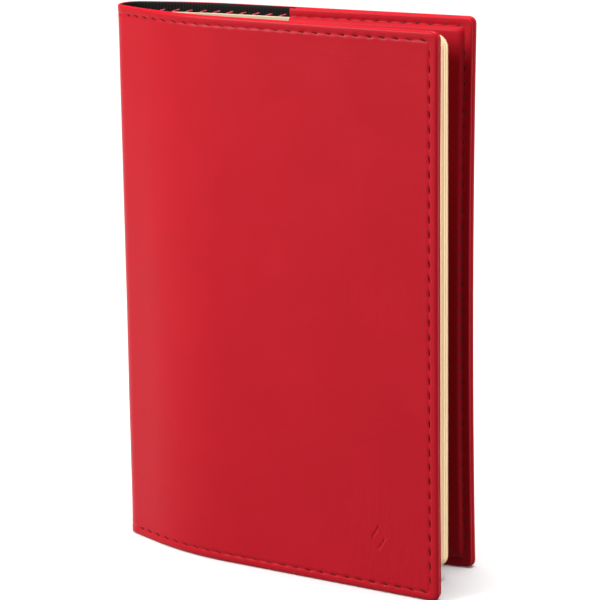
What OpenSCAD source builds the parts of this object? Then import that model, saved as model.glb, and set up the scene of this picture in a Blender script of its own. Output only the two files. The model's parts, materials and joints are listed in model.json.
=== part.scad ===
// Pocket notebook: a soft slip cover around a refill of page sections with its own card cover.
// Seen from above, +X runs from the spine to the fore-edge and +Y from the front cover to the back cover.
// The notebook stands upright on its tail edge, +Z up, with the back cover left a little ajar.

/* [Cover] */
// Height of the cover
cover_h = 156; // [120:1:220]
// Width of the front cover, from the outermost point of the spine to the fore-edge
cover_w = 110; // [85:1:150]
// How much further the front cover reaches than the back cover
back_setback = 5.5; // [0:0.5:8]
// Thickness of the outer leather
leather_t = 1.2; // [0.8:0.1:2]
// Thickness of the woven lining
lining_t = 0.3; // [0.2:0.05:0.6]
// Thickness of the stiffener between leather and lining
stiffener_t = 0.6; // [0.4:0.1:1.2]
// Radius of the cover's corners at the fore-edge
corner_r = 2; // [1:0.5:8]
// Width of the sewn hem along the cover's free edges
hem_w = 3.2; // [2:0.1:5]
// How far the lining and the pocket flaps stay inside the cover's free edges
edge_step = 0.3; // [0.1:0.1:1.2]
// Angle by which the back cover stands ajar
ajar = 4.5; // [0:0.5:8]

/* [Spine] */
// Width of each flexing joint strip between the spine and a cover
joint_w = 10.5; // [8:0.5:14]
// Slope of the joint strips towards the spine
joint_slope = 20; // [15:1:25]
// Radius of the soft bend where the front cover runs into its joint
front_bend_r = 80; // [60:5:110]
// Radius of the soft bend where the back cover runs into its joint
back_bend_r = 60; // [45:5:90]
// Room beside the page block inside the joints
side_clear = 0.9; // [0.5:0.1:2]
// Room behind the spine of the page block, with the sections swung right round
spine_clear = 2; // [1:0.5:5]

/* [Pockets] */
// Width of each pocket flap, from the fore-edge
flap_w = 56; // [35:0.5:70]
// Thickness of the flap's leather
flap_t = 0.8; // [0.5:0.1:1.2]
// Slack around the refill's card inside a pocket
pocket_slack = 0.05; // [0.05:0.05:0.2]

/* [Refill] */
// Thickness of the page block at its spine
block_t = 11; // [8:0.5:16]
// Thickness of the page block at its fore-edge, where the leaves lie loosely
fore_edge_t = 14.7; // [10:0.1:20]
// How far the cover stands above and below the pages
head_square = 3.5; // [3:0.25:6]
// How far the front cover stands past the pages at the fore-edge
fore_square = 7; // [4:0.5:12]
// Radius of the rounded corners of the pages
page_corner_r = 3.5; // [1:0.5:8]
// Thickness of the refill's card cover
card_t = 0.4; // [0.3:0.05:0.6]
// Gap between neighbouring sections
section_gap = 0.1; // [0.05:0.05:0.2]
// Gap between the front cover's inside and the first page
page_gap = 0.4; // [0.3:0.1:1]

/* [Stitching] */
// Distance from one stitch to the next
stitch_pitch = 4; // [2.5:0.1:6]
// Length of one stitch
stitch_len = 3; // [2:0.1:4]
// Thickness of the thread
thread_w = 0.5; // [0.3:0.05:0.6]
// How far the thread lies below the leather's face
thread_sink = 0.05; // [0:0.05:0.1]
// Width of the groove that the stitches draw into the leather
groove_w = 0.9; // [0.8:0.05:1.2]
// Depth of that groove
groove_depth = 0.35; // [0.2:0.05:0.5]

/* [Pressed mark] */
// Long diagonal of the lozenge pressed into the front cover
mark_l = 7; // [4:0.5:12]
// Depth of the pressed line
mark_depth = 0.3; // [0.1:0.1:0.6]
// Distance of the mark's centre from the fore-edge
mark_from_edge = 18.5; // [12:0.5:30]
// Distance of the mark's centre from the tail edge
mark_from_tail = 15.5; // [12:0.5:30]

/* [Hidden] */

section_count = 8;
eps = 0.01;            // overshoot of a cutting solid
arc_steps = 10;        // straight facets along one soft bend
relief = 0.3;          // how far a joint's inner edge is cut back, so that it can fold either way
core_gap = 1.1;        // from the binding's axis to the spine edge of the sections
core_r = 0.7;          // radius of the binding's core
stitch_inset = hem_w - 0.7;
$fn = 48;

// Layers of a cover, each counted inwards from its outer face.
lining_in = leather_t + stiffener_t;
card_in = lining_in + lining_t + pocket_slack;
flap_in = card_in + card_t + pocket_slack;
inner_face = flap_in + flap_t;
spine_wall = leather_t + lining_t;

// The binding's axis and the spine edge of the pages.
swing_r = norm([block_t / 2, core_gap]);
axis_x = spine_wall + card_t + spine_clear + swing_r;
pages_x = axis_x + core_gap;

// The round of the spine, sized so that the page block fits between the two joint strips.
nose_r = (block_t / 2 + side_clear + spine_wall / cos(joint_slope) - pages_x * tan(joint_slope))
    * cos(joint_slope) / (1 - sin(joint_slope));
nose_y = joint_w * sin(joint_slope) + front_bend_r * (1 - cos(joint_slope)) + nose_r * cos(joint_slope);
nose = [nose_r, nose_y];

// Fold lines, on the outer face of the leather: spine to joint, and joint to cover.
front_fold = nose + nose_r * [-sin(joint_slope), -cos(joint_slope)];
front_edge = front_fold + joint_w * [cos(joint_slope), -sin(joint_slope)];
back_fold = nose + nose_r * [-sin(joint_slope), cos(joint_slope)];
back_edge = back_fold + joint_w * [cos(joint_slope), sin(joint_slope)];

// Where each cover turns from its soft bend into its flat panel.
front_turn = joint_slope;
back_turn = joint_slope - ajar;
front_flat = cover_w - front_edge.x - front_bend_r * sin(front_turn);
back_flat = (cover_w - back_setback - back_edge.x
    - back_bend_r * (sin(joint_slope) - sin(ajar))) / cos(ajar);
back_corner = back_edge
    + back_bend_r * [sin(joint_slope) - sin(ajar), cos(ajar) - cos(joint_slope)]
    + back_flat * [cos(ajar), sin(ajar)];

page_h = cover_h - 2 * head_square;
page_w = cover_w - fore_square - pages_x;

// Origin: the middle of the notebook's box, at its foot.
centre = [cover_w / 2, back_corner.y / 2, 0];

leather_colour = [0.75, 0.12, 0.2];
thread_colour = [0.5, 0.05, 0.12];
lining_colour = [0.13, 0.13, 0.12];
board_colour = [0.6, 0.58, 0.52];
card_colour = [0.95, 0.9, 0.76];
paper_colour = [0.9, 0.86, 0.68];

// A corner of the soft bend's facets, counted from the start of the flat panel towards the joint.
function bend_corner(k, depth, bend_len, bend_r) = let (a = k / arc_steps * bend_len / bend_r * 180 / PI)
    [-(bend_r - depth) * sin(a), bend_r - (bend_r - depth) * cos(a)];

// Which facet of the bend a distance falls on.
function bend_facet(along, bend_len) = min(floor(-along / bend_len * arc_steps), arc_steps - 1);

// A point of a cover's profile: 'along' is measured from the start of its flat panel, negative in the
// bend, and 'depth' inwards from the outer face. The panel lies along +X with its outer face at y = 0.
function bend_point(along, depth, bend_len, bend_r) = along >= 0
    ? [along, depth]
    : let (k = bend_facet(along, bend_len), share = -along / bend_len * arc_steps - k)
        (1 - share) * bend_corner(k, depth, bend_len, bend_r)
        + share * bend_corner(k + 1, depth, bend_len, bend_r);

function bend_angle(along, bend_len, bend_r) = along >= 0
    ? 0
    : (bend_facet(along, bend_len) + 0.5) / arc_steps * bend_len / bend_r * 180 / PI;

// Distances along a profile at which it is sampled: its ends and the corners of the bend between them.
function profile_stops(from, to, bend_len) = concat(
    [from],
    [for (k = [arc_steps:-1:0]) let (s = -k / arc_steps * bend_len) if (s > from + eps && s < to - eps) s],
    [to]
);

// One side of a layer, at a depth, walked from 'from' to 'to'.
function layer_side(depth, from, to, bend_len, bend_r) =
    [for (s = profile_stops(from, to, bend_len)) bend_point(s, depth, bend_len, bend_r)];

function reversed(list) = [for (i = [len(list) - 1:-1:0]) list[i]];

// Closed outline of one layer, between two depths.
function layer_outline(depth_1, depth_2, from, to, bend_len, bend_r) = concat(
    layer_side(depth_1, from, to, bend_len, bend_r),
    reversed(layer_side(depth_2, from, to, bend_len, bend_r))
);

// Rounded plate in the XZ plane, through the whole depth of a cover, with round corners at x = right.
module edge_plate(left, right, bottom, top, r) {
    translate([0, front_bend_r, 0]) rotate([90, 0, 0]) linear_extrude(2 * front_bend_r) union() {
        translate([left, bottom]) square([right - left - r, top - bottom]);
        translate([left, bottom + r]) square([right - left, top - bottom - 2 * r]);
        for (z = [bottom + r, top - r]) translate([right - r, z]) circle(r);
    }
}

// One layer of a cover: its profile raised over a height and trimmed to round fore-edge corners.
module cover_layer(depth_1, depth_2, from, to, bend_len, bend_r, inset, r) {
    intersection() {
        translate([0, 0, inset]) linear_extrude(cover_h - 2 * inset)
            polygon(layer_outline(depth_1, depth_2, from, to, bend_len, bend_r));
        edge_plate(from - bend_r, to, inset, cover_h - inset, r);
    }
}

// Wedge that takes the inner edge off a layer at the fold line, so that the joint can close a little.
module fold_relief(depth, bend_len, bend_r) {
    outer = bend_point(-bend_len, 0, bend_len, bend_r);
    a = bend_angle(-bend_len, bend_len, bend_r);
    translate([outer.x, outer.y, -eps]) rotate(-a) linear_extrude(cover_h + 2 * eps)
        polygon([[0, 0], [relief, depth], [-relief, depth]]);
}

// Groove of the stitching in a cover's outer face, along head, fore-edge and tail.
module cover_groove(bend_len, flat, bend_r) {
    outside = stitch_inset - groove_w / 2;
    inside = stitch_inset + groove_w / 2;
    difference() {
        cover_layer(-eps, groove_depth, -bend_len - relief, flat - outside, bend_len, bend_r, outside,
            relief);
        cover_layer(-groove_depth, 2 * groove_depth, -bend_len - 2 * relief, flat - inside, bend_len, bend_r,
            inside, relief);
    }
}

// Outer leather of a cover, its three free edges turned in round the stiffener.
module cover_leather(bend_len, flat, bend_r) {
    past = -bend_len - relief;
    difference() {
        cover_layer(0, lining_in, -bend_len, flat, bend_len, bend_r, 0, corner_r);
        cover_layer(leather_t, lining_in + eps, past, flat - hem_w, bend_len, bend_r, hem_w, corner_r / 2);
        translate([0, 0, -eps]) linear_extrude(cover_h + 2 * eps)
            polygon(layer_outline(leather_t, lining_in + eps, past, hem_w - bend_len, bend_len, bend_r));
        fold_relief(lining_in, bend_len, bend_r);
        cover_groove(bend_len, flat, bend_r);
    }
}

module cover_stiffener(bend_len, flat, bend_r) {
    fit = 2 * pocket_slack;
    cover_layer(leather_t, lining_in, hem_w + fit - bend_len, flat - hem_w - fit, bend_len, bend_r,
        hem_w + fit, corner_r / 2);
}

// Lining of a cover: straight on the leather at the joint, then over the turned edge and the stiffener.
module cover_lining(bend_len, flat, bend_r) {
    step = hem_w - bend_len;
    intersection() {
        translate([0, 0, edge_step]) linear_extrude(cover_h - 2 * edge_step) polygon(concat(
            layer_side(leather_t, relief - bend_len, step, bend_len, bend_r),
            layer_side(lining_in, step, flat - edge_step, bend_len, bend_r),
            reversed(layer_side(lining_in + lining_t, step - lining_t, flat - edge_step, bend_len, bend_r)),
            reversed(layer_side(spine_wall, relief - bend_len, step - lining_t, bend_len, bend_r))
        ));
        edge_plate(-bend_len - bend_r, flat - edge_step, edge_step, cover_h - edge_step, corner_r);
    }
}

// Pocket flap: a plate over the card, with a sewn rim at head, tail and fore-edge.
module cover_flap(bend_len, flat, bend_r) {
    start = flat - flap_w;
    difference() {
        cover_layer(lining_in + lining_t, inner_face, start, flat - edge_step, bend_len, bend_r, edge_step,
            corner_r);
        cover_layer(lining_in + lining_t - eps, flap_in, start - eps, flat - hem_w, bend_len, bend_r,
            hem_w, corner_r / 2);
    }
}

// Card of the refill in a cover's pocket. It starts half way along the soft bend.
module cover_card(bend_len, flat, bend_r) {
    cover_layer(card_in, card_in + card_t, -bend_len / 2, flat - fore_square, bend_len, bend_r,
        hem_w + pocket_slack, page_corner_r);
}

// One stitch, lying along +X in the groove of an outer face at y = 0, and a little into its floor.
module stitch() {
    translate([-stitch_len / 2, thread_sink, -thread_w / 2])
        cube([stitch_len, groove_depth, thread_w]);
}

// Stitches of a cover: a row at head and tail, following the bend, and a column at the fore-edge.
module cover_stitches(bend_len, flat, bend_r) {
    row = bend_len + flat - 2 * stitch_inset;
    row_count = floor(row / stitch_pitch);
    column = cover_h - 2 * stitch_inset;
    column_count = floor(column / stitch_pitch);
    for (z = [stitch_inset, cover_h - stitch_inset], i = [0:row_count - 1]) {
        s = flat - stitch_inset - (i + 0.5) * stitch_pitch;
        p = bend_point(s, 0, bend_len, bend_r);
        translate([p.x, p.y, z]) rotate(-bend_angle(s, bend_len, bend_r)) stitch();
    }
    for (i = [0:column_count - 1])
        translate([flat - stitch_inset, 0, cover_h / 2 + (i - (column_count - 1) / 2) * stitch_pitch])
            rotate([0, 90, 0]) stitch();
}

// A joint strip lying along +X from its fold line, with its outer face at y = 0.
module joint_layer(depth_1, depth_2, inset) {
    translate([0, 0, inset]) linear_extrude(cover_h - 2 * inset) polygon([
        [relief * depth_1 / spine_wall, depth_1], [joint_w - relief * depth_1 / spine_wall, depth_1],
        [joint_w - relief * depth_2 / spine_wall, depth_2], [relief * depth_2 / spine_wall, depth_2]
    ]);
}

// Outer leather of a joint strip, with the stitching's groove at head and tail.
module joint_leather() {
    difference() {
        joint_layer(0, leather_t, 0);
        for (z = [stitch_inset, cover_h - stitch_inset])
            translate([-eps, -eps, z - groove_w / 2])
                cube([joint_w + 2 * eps, groove_depth + eps, groove_w]);
    }
}

module joint_stitches() {
    count = floor(joint_w / stitch_pitch);
    for (z = [stitch_inset, cover_h - stitch_inset], i = [0:count - 1])
        translate([joint_w / 2 + (i - (count - 1) / 2) * stitch_pitch, 0, z]) stitch();
}

// Ring sector of the spine's round, between two radii, open towards +X.
module nose_layer(r_1, r_2, half_angle, inset) {
    reach = 3 * nose_r;
    translate([nose.x, nose.y, inset]) linear_extrude(cover_h - 2 * inset) intersection() {
        difference() {
            circle(r_1);
            circle(r_2);
        }
        polygon([[0, 0], reach * [-cos(half_angle), sin(half_angle)], [-reach, reach * sin(half_angle)],
            [-reach, -reach * sin(half_angle)], reach * [-cos(half_angle), -sin(half_angle)]]);
    }
}

// A finished piece: its colour, moved so that the notebook stands over the origin.
module piece(colour) {
    color(colour) translate(-centre) children();
}

module on_front_cover() {
    translate([cover_w - front_flat, 0, 0]) children();
}

module on_back_cover() {
    translate([back_corner.x, back_corner.y, 0]) rotate(ajar) mirror([0, 1, 0])
        translate([-back_flat, 0, 0]) children();
}

module on_front_joint() {
    translate([front_fold.x, front_fold.y, 0]) rotate(-joint_slope) children();
}

module on_back_joint() {
    translate([back_fold.x, back_fold.y, 0]) rotate(joint_slope) mirror([0, 1, 0]) children();
}

front_bend_len = front_bend_r * front_turn * PI / 180;
back_bend_len = back_bend_r * back_turn * PI / 180;

module spine_leather() {
    piece(leather_colour) difference() {
        nose_layer(nose_r, nose_r - leather_t, 90 - joint_slope, 0);
        for (z = [stitch_inset, cover_h - stitch_inset])
            translate([nose.x, nose.y, z - groove_w / 2]) linear_extrude(groove_w) difference() {
                circle(nose_r + groove_depth);
                circle(nose_r - groove_depth);
            }
    }
}

module spine_lining() {
    piece(lining_colour) nose_layer(nose_r - leather_t, nose_r - spine_wall, 90 - joint_slope - relief,
        edge_step);
}

module spine_stitching() {
    turn = stitch_pitch / nose_r * 180 / PI;
    piece(thread_colour) for (z = [stitch_inset, cover_h - stitch_inset], i = [-1:1])
        translate([nose.x, nose.y, z]) rotate(i * turn) translate([-nose_r, 0, 0]) rotate(-90) stitch();
}

module refill_spine_card() {
    outer = nose_r - spine_wall - pocket_slack;
    piece(card_colour) nose_layer(outer, outer - card_t, 45, hem_w + pocket_slack);
}

module binding_core() {
    piece(paper_colour) translate([axis_x, nose.y, head_square]) cylinder(h = page_h, r = core_r);
}

module front_joint_leather() {
    piece(leather_colour) on_front_joint() joint_leather();
}

module front_joint_lining() {
    piece(lining_colour) on_front_joint() joint_layer(leather_t, spine_wall, edge_step);
}

module front_joint_stitching() {
    piece(thread_colour) on_front_joint() joint_stitches();
}

module pressed_mark() {
    line = mark_l / 9;
    translate([cover_w - mark_from_edge, mark_depth, mark_from_tail]) rotate([90, 0, 0])
        linear_extrude(mark_depth + eps) difference() {
            scale(mark_l / 2) polygon([[0, 1], [0.62, 0], [0, -1], [-0.62, 0]]);
            scale(mark_l / 2 - line) polygon([[0, 1], [0.62, 0], [0, -1], [-0.62, 0]]);
        }
}

module front_cover_leather() {
    piece(leather_colour) difference() {
        on_front_cover() cover_leather(front_bend_len, front_flat, front_bend_r);
        pressed_mark();
    }
}

module front_stiffener() {
    piece(board_colour) on_front_cover() cover_stiffener(front_bend_len, front_flat, front_bend_r);
}

module front_lining() {
    piece(lining_colour) on_front_cover() cover_lining(front_bend_len, front_flat, front_bend_r);
}

module front_pocket_flap() {
    piece(leather_colour) on_front_cover() cover_flap(front_bend_len, front_flat, front_bend_r);
}

module front_cover_stitching() {
    piece(thread_colour) on_front_cover() cover_stitches(front_bend_len, front_flat, front_bend_r);
}

module refill_front_card() {
    piece(card_colour) on_front_cover() cover_card(front_bend_len, front_flat, front_bend_r);
}

module back_joint_leather() {
    piece(leather_colour) on_back_joint() joint_leather();
}

module back_joint_lining() {
    piece(lining_colour) on_back_joint() joint_layer(leather_t, spine_wall, edge_step);
}

module back_joint_stitching() {
    piece(thread_colour) on_back_joint() joint_stitches();
}

module back_cover_leather() {
    piece(leather_colour) on_back_cover() cover_leather(back_bend_len, back_flat, back_bend_r);
}

module back_stiffener() {
    piece(board_colour) on_back_cover() cover_stiffener(back_bend_len, back_flat, back_bend_r);
}

module back_lining() {
    piece(lining_colour) on_back_cover() cover_lining(back_bend_len, back_flat, back_bend_r);
}

module back_pocket_flap() {
    piece(leather_colour) on_back_cover() cover_flap(back_bend_len, back_flat, back_bend_r);
}

module back_cover_stitching() {
    piece(thread_colour) on_back_cover() cover_stitches(back_bend_len, back_flat, back_bend_r);
}

module refill_back_card() {
    piece(card_colour) on_back_cover() cover_card(back_bend_len, back_flat, back_bend_r);
}

// Section i of the page block, counted from 1 at the front: thicker at the fore-edge than at the spine.
module section(i) {
    spine_t = block_t / section_count;
    edge_t = fore_edge_t / section_count;
    spine_y = nose.y - block_t / 2 + (i - 1) * spine_t;
    edge_y = inner_face + page_gap + (i - 1) * edge_t;
    right = pages_x + page_w;
    piece(paper_colour) intersection() {
        translate([0, 0, head_square]) linear_extrude(page_h) polygon([
            [pages_x, spine_y + section_gap / 2], [right, edge_y + section_gap / 2],
            [right, edge_y + edge_t - section_gap / 2], [pages_x, spine_y + spine_t - section_gap / 2]
        ]);
        edge_plate(0, right, head_square, head_square + page_h, page_corner_r);
    }
}

module section_1() {
    section(1);
}

module section_2() {
    section(2);
}

module section_3() {
    section(3);
}

module section_4() {
    section(4);
}

module section_5() {
    section(5);
}

module section_6() {
    section(6);
}

module section_7() {
    section(7);
}

module section_8() {
    section(8);
}

spine_leather();
spine_lining();
spine_stitching();
refill_spine_card();
binding_core();
front_joint_leather();
front_joint_lining();
front_joint_stitching();
front_cover_leather();
front_stiffener();
front_lining();
front_pocket_flap();
front_cover_stitching();
refill_front_card();
back_joint_leather();
back_joint_lining();
back_joint_stitching();
back_cover_leather();
back_stiffener();
back_lining();
back_pocket_flap();
back_cover_stitching();
refill_back_card();
section_1();
section_2();
section_3();
section_4();
section_5();
section_6();
section_7();
section_8();
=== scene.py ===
"""Looks of the pocket notebook: a stitched slip cover around a refill of folded page sections.

Lengths are in metres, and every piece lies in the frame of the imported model: +X from the spine to the
fore-edge, -Y out of the front cover, +Z up, with the notebook standing on its tail edge.
"""

from __future__ import annotations

import json
import logging
import math
from collections.abc import Callable, Sequence
from dataclasses import dataclass, field
from enum import Enum

import bmesh
import bpy
import numpy as np
from mathutils import Matrix, Vector

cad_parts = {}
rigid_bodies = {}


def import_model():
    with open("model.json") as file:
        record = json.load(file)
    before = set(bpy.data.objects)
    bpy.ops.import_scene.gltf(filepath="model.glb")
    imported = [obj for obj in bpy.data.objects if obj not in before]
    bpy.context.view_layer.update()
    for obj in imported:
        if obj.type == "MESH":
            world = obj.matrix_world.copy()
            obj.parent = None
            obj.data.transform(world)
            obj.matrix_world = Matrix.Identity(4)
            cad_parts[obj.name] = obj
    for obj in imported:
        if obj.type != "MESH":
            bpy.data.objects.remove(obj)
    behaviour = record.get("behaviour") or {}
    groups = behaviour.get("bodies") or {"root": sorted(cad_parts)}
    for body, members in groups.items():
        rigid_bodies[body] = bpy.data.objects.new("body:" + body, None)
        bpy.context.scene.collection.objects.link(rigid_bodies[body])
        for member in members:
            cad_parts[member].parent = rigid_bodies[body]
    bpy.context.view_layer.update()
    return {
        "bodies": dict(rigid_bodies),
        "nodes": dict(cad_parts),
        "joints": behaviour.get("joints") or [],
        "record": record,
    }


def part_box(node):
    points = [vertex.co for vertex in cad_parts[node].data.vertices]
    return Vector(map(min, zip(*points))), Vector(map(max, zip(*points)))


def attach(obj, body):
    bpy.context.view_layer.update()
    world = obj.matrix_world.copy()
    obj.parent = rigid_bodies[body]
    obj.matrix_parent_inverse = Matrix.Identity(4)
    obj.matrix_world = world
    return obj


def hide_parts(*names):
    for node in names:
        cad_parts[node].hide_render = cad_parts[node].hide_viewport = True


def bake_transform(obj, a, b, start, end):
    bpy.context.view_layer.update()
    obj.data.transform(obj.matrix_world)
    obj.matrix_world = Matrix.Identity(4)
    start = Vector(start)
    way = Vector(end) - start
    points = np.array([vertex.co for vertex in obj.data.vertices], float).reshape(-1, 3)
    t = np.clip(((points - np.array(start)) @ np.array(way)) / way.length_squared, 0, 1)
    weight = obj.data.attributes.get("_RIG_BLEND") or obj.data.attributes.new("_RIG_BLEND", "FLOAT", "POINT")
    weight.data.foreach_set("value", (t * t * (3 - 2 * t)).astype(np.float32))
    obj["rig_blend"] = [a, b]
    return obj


LOG = logging.getLogger("notebook")
MM = 0.001
Colour = tuple[float, float, float]
Depth = Callable[[np.ndarray, np.ndarray, np.ndarray], np.ndarray]


# ---------------------------------------------------------------------------------------------- shader maths
class Value:
    """One value socket of a material, with arithmetic that adds Math nodes."""

    def __init__(self, graph: "Graph", socket: bpy.types.NodeSocket) -> None:
        """Wraps a socket.

        Args:
            graph: The material's graph, which makes the nodes.
            socket: The output socket that holds the value.
        """
        self.graph = graph
        self.socket = socket

    def _math(self, operation: str, *terms: "Value | float") -> "Value":
        """Adds one Math node.

        Args:
            operation: The node's operation.
            terms: Its values or links, in order.

        Returns:
            The node's result.
        """
        sockets = dict(enumerate(terms))
        return self.graph.out("ShaderNodeMath", {"operation": operation}, sockets, 0)

    def __add__(self, other: "Value | float") -> "Value":
        """Sum."""
        return self._math("ADD", self, other)

    __radd__ = __add__

    def __sub__(self, other: "Value | float") -> "Value":
        """Difference."""
        return self._math("SUBTRACT", self, other)

    def __rsub__(self, other: float) -> "Value":
        """Difference, with the number in front."""
        return self._math("SUBTRACT", other, self)

    def __mul__(self, other: "Value | float") -> "Value":
        """Product."""
        return self._math("MULTIPLY", self, other)

    __rmul__ = __mul__

    def __abs__(self) -> "Value":
        """Size without its sign."""
        return self._math("ABSOLUTE", self)

    def sine(self) -> "Value":
        """Sine of an angle in radians."""
        return self._math("SINE", self)

    def step(self, low: float, high: float, start: float = 0.0, end: float = 1.0) -> "Value":
        """Smooth step of this value.

        Args:
            low: Where the step starts.
            high: Where the step ends.
            start: The result up to low.
            end: The result from high on.

        Returns:
            The stepped value.
        """
        settings = {"interpolation_type": "SMOOTHSTEP", "clamp": True}
        sockets = {"Value": self, "From Min": low, "From Max": high, "To Min": start, "To Max": end}
        return self.graph.out("ShaderNodeMapRange", settings, sockets, "Result")


class Graph:
    """The nodes of one material."""

    def __init__(self, name: str) -> None:
        """Starts a material with an empty node tree.

        Args:
            name: The material's name.
        """
        self.material = bpy.data.materials.new(name)
        self.material.use_nodes = True
        self.tree = self.material.node_tree
        self.tree.nodes.clear()
        self.place = self.node("ShaderNodeTexCoord").outputs["Object"]

    def node(
        self, kind: str, settings: dict[str, object] | None = None, sockets: dict | None = None
    ) -> bpy.types.Node:
        """Adds a node.

        Args:
            kind: The node's type.
            settings: Its own settings, which are set before its sockets.
            sockets: Values or links by socket name or number.

        Returns:
            The node.
        """
        made = self.tree.nodes.new(kind)
        for key, value in (settings or {}).items():
            setattr(made, key, value)
        for key, value in (sockets or {}).items():
            source = value.socket if isinstance(value, Value) else value
            if isinstance(source, bpy.types.NodeSocket):
                self.tree.links.new(source, made.inputs[key])
            else:
                made.inputs[key].default_value = source
        return made

    def out(
        self, kind: str, settings: dict[str, object] | None, sockets: dict | None, name: str | int
    ) -> Value:
        """Adds a node and wraps one of its outputs.

        Args:
            kind: The node's type.
            settings: Its own settings.
            sockets: Values or links by socket name or number.
            name: The output's name or number.

        Returns:
            The wrapped output.
        """
        return Value(self, self.node(kind, settings, sockets).outputs[name])

    def stretched(self, scale: Colour, turn: Colour = (0.0, 0.0, 0.0)) -> bpy.types.NodeSocket:
        """Object coordinates, scaled along each axis and turned.

        Args:
            scale: Repeats per metre along each axis.
            turn: Turn about each axis, in radians.

        Returns:
            The mapped coordinates.
        """
        sockets = {"Vector": self.place, "Scale": scale, "Rotation": turn}
        return self.node("ShaderNodeMapping", None, sockets).outputs["Vector"]

    def noise(
        self, scale: float, detail: float = 2.0, place: bpy.types.NodeSocket | None = None, rough: float = 0.5
    ) -> Value:
        """Noise from 0 to 1.

        Args:
            scale: Repeats per metre, or per unit of the given coordinates.
            detail: Octaves.
            place: Coordinates, or None for the piece's own.
            rough: How strong the finer octaves are.

        Returns:
            The noise.
        """
        sockets = {"Vector": place or self.place, "Scale": scale, "Detail": detail, "Roughness": rough}
        return self.out("ShaderNodeTexNoise", None, sockets, "Fac")

    def cells(self, scale: float) -> Value:
        """Smooth distance to the middle of the nearest cell.

        Args:
            scale: Cells per metre.

        Returns:
            The distance.
        """
        sockets = {"Vector": self.place, "Scale": scale}
        return self.out("ShaderNodeTexVoronoi", {"feature": "SMOOTH_F1"}, sockets, "Distance")

    def axis(self, name: str, source: bpy.types.NodeSocket | None = None) -> Value:
        """One coordinate.

        Args:
            name: X, Y or Z.
            source: Coordinates, or None for the piece's own.

        Returns:
            The coordinate.
        """
        return self.out("ShaderNodeSeparateXYZ", None, {"Vector": source or self.place}, name)

    def blend(self, factor: Value | float, first: object, second: object) -> bpy.types.NodeSocket:
        """Mix of two colours.

        Args:
            factor: Share of the second colour.
            first: A colour or a link.
            second: A colour or a link.

        Returns:
            The mixed colour's socket.
        """
        sockets = {
            0: factor,
            6: (*first, 1.0) if isinstance(first, tuple) else first,
            7: (*second, 1.0) if isinstance(second, tuple) else second,
        }
        return self.node("ShaderNodeMix", {"data_type": "RGBA"}, sockets).outputs[2]

    def finish(
        self,
        colour: object,
        roughness: Value | float,
        height: Value | None = None,
        depth: float = 0.0,
        **fixed: object,
    ) -> bpy.types.Material:
        """Adds the shader, its bump and the output.

        Args:
            colour: Base colour or its link.
            roughness: Roughness or its link.
            height: Height of the fine relief, as a share of depth.
            depth: Height of that relief at 1, in metres.
            fixed: Values of other sockets, by name with _ for a space.

        Returns:
            The material.
        """
        sockets: dict = {
            "Base Color": (*colour, 1.0) if isinstance(colour, tuple) else colour,
            "Roughness": roughness,
        }
        for key, value in fixed.items():
            sockets[key.replace("_", " ")] = value
        if height is not None:
            relief = {"Height": height, "Distance": depth, "Strength": 1.0}
            sockets["Normal"] = self.node("ShaderNodeBump", None, relief).outputs["Normal"]
        shader = self.node("ShaderNodeBsdfPrincipled", None, sockets)
        self.node("ShaderNodeOutputMaterial", None, {"Surface": shader.outputs["BSDF"]})
        return self.material


# ------------------------------------------------------------------------------------------------- finishes
@dataclass(frozen=True)
class Leatherette:
    """Smooth coated leather with a fine grain and faint upright creases."""

    name: str
    light: Colour
    dark: Colour
    roughness: float = 0.4
    creases: float = 1.0
    relief: float = 0.045 * MM

    def material(self) -> bpy.types.Material:
        """Builds the material."""
        g = Graph(self.name)
        cloud = g.noise(55.0, 3.0)
        pores = g.cells(1900.0)
        grain = g.noise(2600.0, 3.0)
        upright = g.stretched((420.0, 420.0, 75.0), (0.0, 0.12, 0.0))
        folds = abs(g.noise(1.0, 4.0, upright, 0.55) - 0.5).step(0.0, 0.07)
        across = g.stretched((90.0, 90.0, 520.0), (0.0, -0.25, 0.0))
        lines = abs(g.noise(1.0, 3.0, across, 0.5) - 0.5).step(0.0, 0.05)
        patch = g.noise(28.0, 1.0).step(0.42, 0.66)
        right = g.axis("X").step(-0.01, 0.05)
        crease = (1.0 - folds) * patch * (right * 0.8 + 0.2) * self.creases
        fine = (1.0 - lines) * (1.0 - patch) * 0.35 * self.creases
        height = pores * 0.3 + grain * 0.2 - crease * 0.55 - fine * 0.5
        tone = cloud.step(0.3, 0.7) * 0.55 + grain * 0.3
        colour = g.blend(tone, self.dark, self.light)
        rough = cloud * 0.1 + grain * 0.08 + (self.roughness - 0.09)
        gloss = {"Coat_Weight": 0.03, "Coat_Roughness": 0.3, "Specular_IOR_Level": 0.12}
        return g.finish(colour, rough, height, self.relief, **gloss)


@dataclass(frozen=True)
class Weave:
    """Woven lining with upright ribs and finer threads across."""

    name: str
    warp: Colour
    weft: Colour
    rib: float = 0.95 * MM
    thread: float = 0.42 * MM
    relief: float = 0.16 * MM

    def material(self) -> bpy.types.Material:
        """Builds the material."""
        g = Graph(self.name)
        sheet = g.node("ShaderNodeUVMap", {"uv_map": "sheet"}).outputs["UV"]
        along, up = g.axis("X", sheet), g.axis("Y", sheet)
        ribs = (along * (2.0 * math.pi / self.rib)).sine() * 0.5 + 0.5
        threads = (up * (2.0 * math.pi / self.thread)).sine() * 0.5 + 0.5
        fuzz = g.noise(5200.0, 2.0)
        slub = g.noise(1.0, 2.0, g.stretched((160.0, 160.0, 14.0)))
        height = ribs * 0.65 + threads * ribs * 0.25 + fuzz * 0.2
        tone = ribs * 0.45 + threads * 0.2 + fuzz * 0.3 + slub * 0.25 - 0.2
        colour = g.blend(tone, self.weft, self.warp)
        return g.finish(colour, fuzz * 0.1 + 0.75, height, self.relief, Specular_IOR_Level=0.25)


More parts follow.
